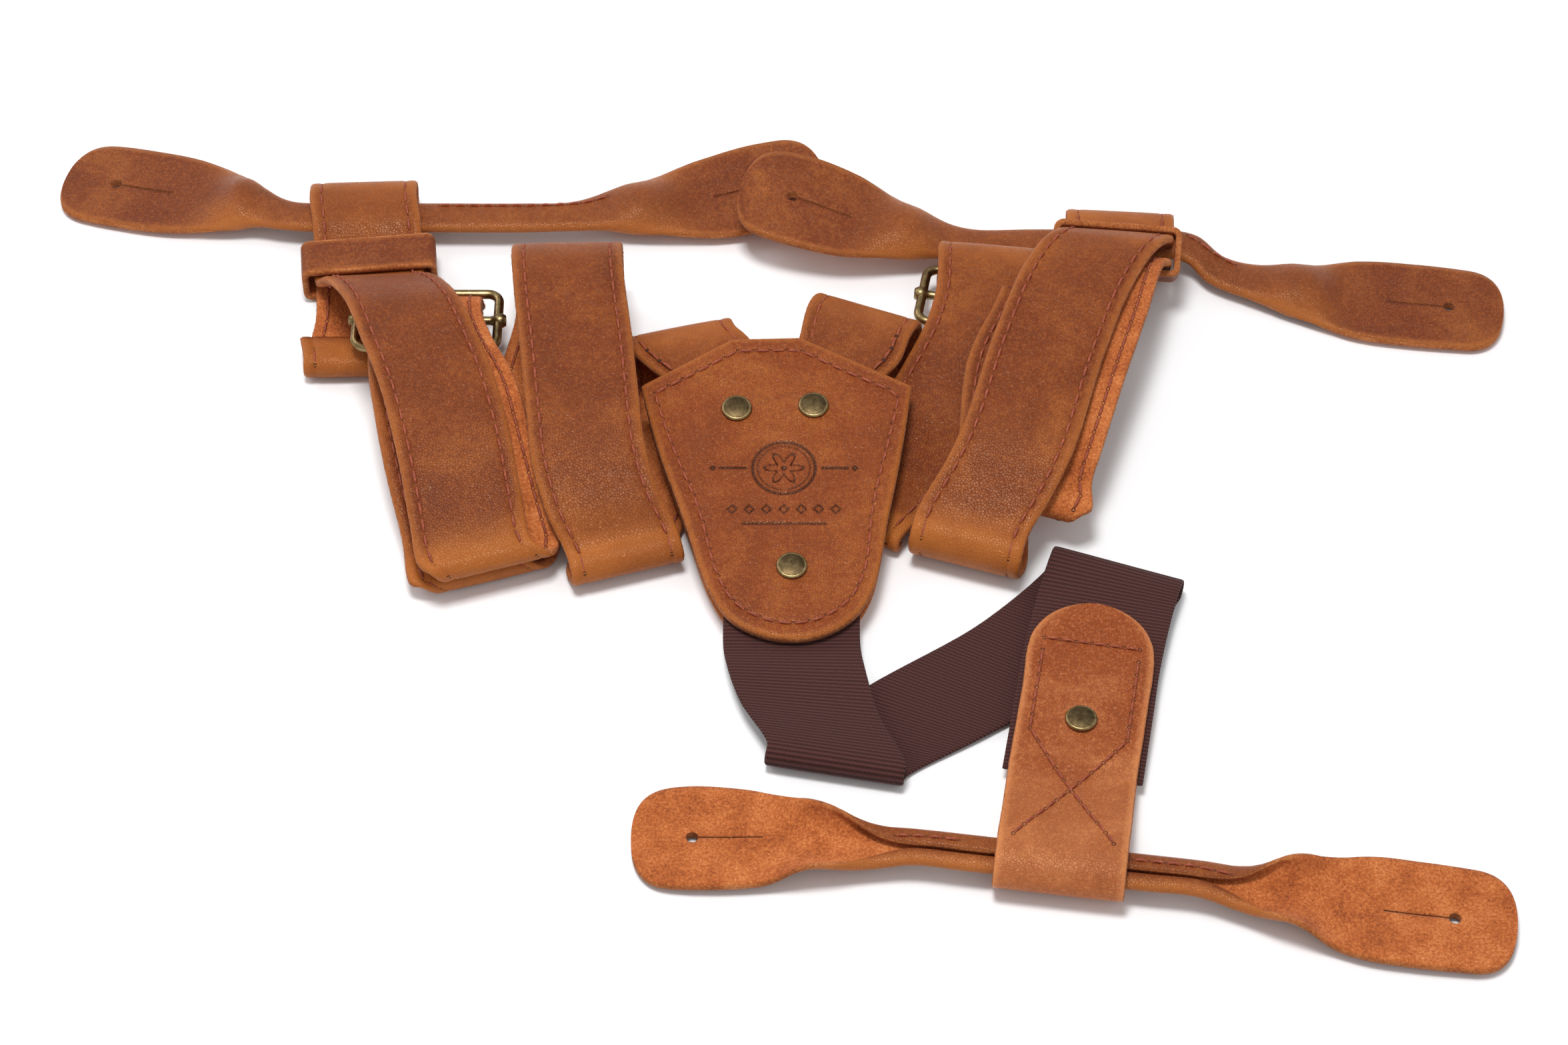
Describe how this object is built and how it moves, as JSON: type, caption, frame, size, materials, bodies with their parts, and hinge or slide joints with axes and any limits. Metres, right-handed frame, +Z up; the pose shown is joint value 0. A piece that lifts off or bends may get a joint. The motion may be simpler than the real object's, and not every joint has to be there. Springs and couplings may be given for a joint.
{
  "type": "button suspenders",
  "caption": "Leather button suspenders lying coiled: stitched back patch, two straps with slide buckles and keepers, elastic rear strap and folded button tabs that slide in their loops.",
  "frame": {"origin": "centre of the bounding box, on the surface the piece lies on", "axes": "+X across the coils along the front button tabs, +Y from the rear button tab towards the front tabs, +Z up"},
  "size_m": [0.4046, 0.2883, 0.0276],
  "materials": {
    "pull_up_leather": "waxed pull-up leather, satin",
    "tab_leather": "waxed pull-up leather, satin",
    "suede_lining": "suede, matte",
    "ribbed_elastic": "ribbed woven elastic, matte",
    "antique_brass": "antique brass, satin"
  },
  "bodies": {
    "harness": {"back_patch_front": "tab_leather", "back_patch_lining": "suede_lining", "patch_rivet_left_cap": "antique_brass", "patch_rivet_left_post": "antique_brass", "patch_rivet_right_cap": "antique_brass", "patch_rivet_right_post": "antique_brass", "patch_rivet_bottom_cap": "antique_brass", "patch_rivet_bottom_post": "antique_brass", "left_back_strap": "pull_up_leather", "right_back_strap": "pull_up_leather", "left_front_strap": "pull_up_leather", "right_front_strap": "pull_up_leather", "elastic_web": "ribbed_elastic"},
    "rear_end": {"rear_end_tab": "tab_leather", "rear_rivet_cap": "antique_brass", "rear_rivet_post": "antique_brass"},
    "rear_button": {"rear_button_tab": "tab_leather"},
    "left_button": {"left_button_tab": "tab_leather"},
    "right_button": {"right_button_tab": "tab_leather"},
    "left_loop": {"left_keeper": "pull_up_leather"},
    "right_loop": {"right_keeper": "pull_up_leather"},
    "left_buckle": {"left_buckle_frame": "antique_brass", "left_buckle_bar": "antique_brass"},
    "right_buckle": {"right_buckle_frame": "antique_brass", "right_buckle_bar": "antique_brass"}
  },
  "joints": [
    {"name": "left_button_slide", "type": "slide", "parent": "harness", "child": "left_button", "axis": [1, 0, 0], "range_m": [-0.03, 0.002]},
    {"name": "right_button_slide", "type": "slide", "parent": "harness", "child": "right_button", "axis": [1, 0, 0], "range_m": [-0.001, 0.005]},
    {"name": "elastic_stretch", "type": "slide", "parent": "harness", "child": "rear_end", "axis": [-0.1736, -0.9848, 0], "range_m": [0, 0.03], "stiffness_N_per_m": 300, "deforming": ["elastic_web"]},
    {"name": "rear_button_slide", "type": "slide", "parent": "rear_end", "child": "rear_button", "axis": [0.9903, -0.1392, 0], "range_m": [-0.012, 0.012]},
    {"name": "left_keeper_slide", "type": "slide", "parent": "harness", "child": "left_loop", "axis": [-0.1045, 0.9945, 0], "range_m": [0, 0.001]},
    {"name": "right_keeper_slide", "type": "slide", "parent": "harness", "child": "right_loop", "axis": [0.0584, 0.5561, -0.829], "range_m": [-0.0005, 0.0005]},
    {"name": "left_buckle_turn", "type": "hinge", "parent": "harness", "child": "left_buckle", "pos_m": [-0.0938, 0.0661, 0.0115], "axis": [1, 0, 0], "range_deg": [-1, 1]},
    {"name": "right_buckle_turn", "type": "hinge", "parent": "harness", "child": "right_buckle", "pos_m": [0.0602, 0.0771, 0.0075], "axis": [0.9848, -0.1736, 0], "range_deg": [-1, 1]}
  ]
}
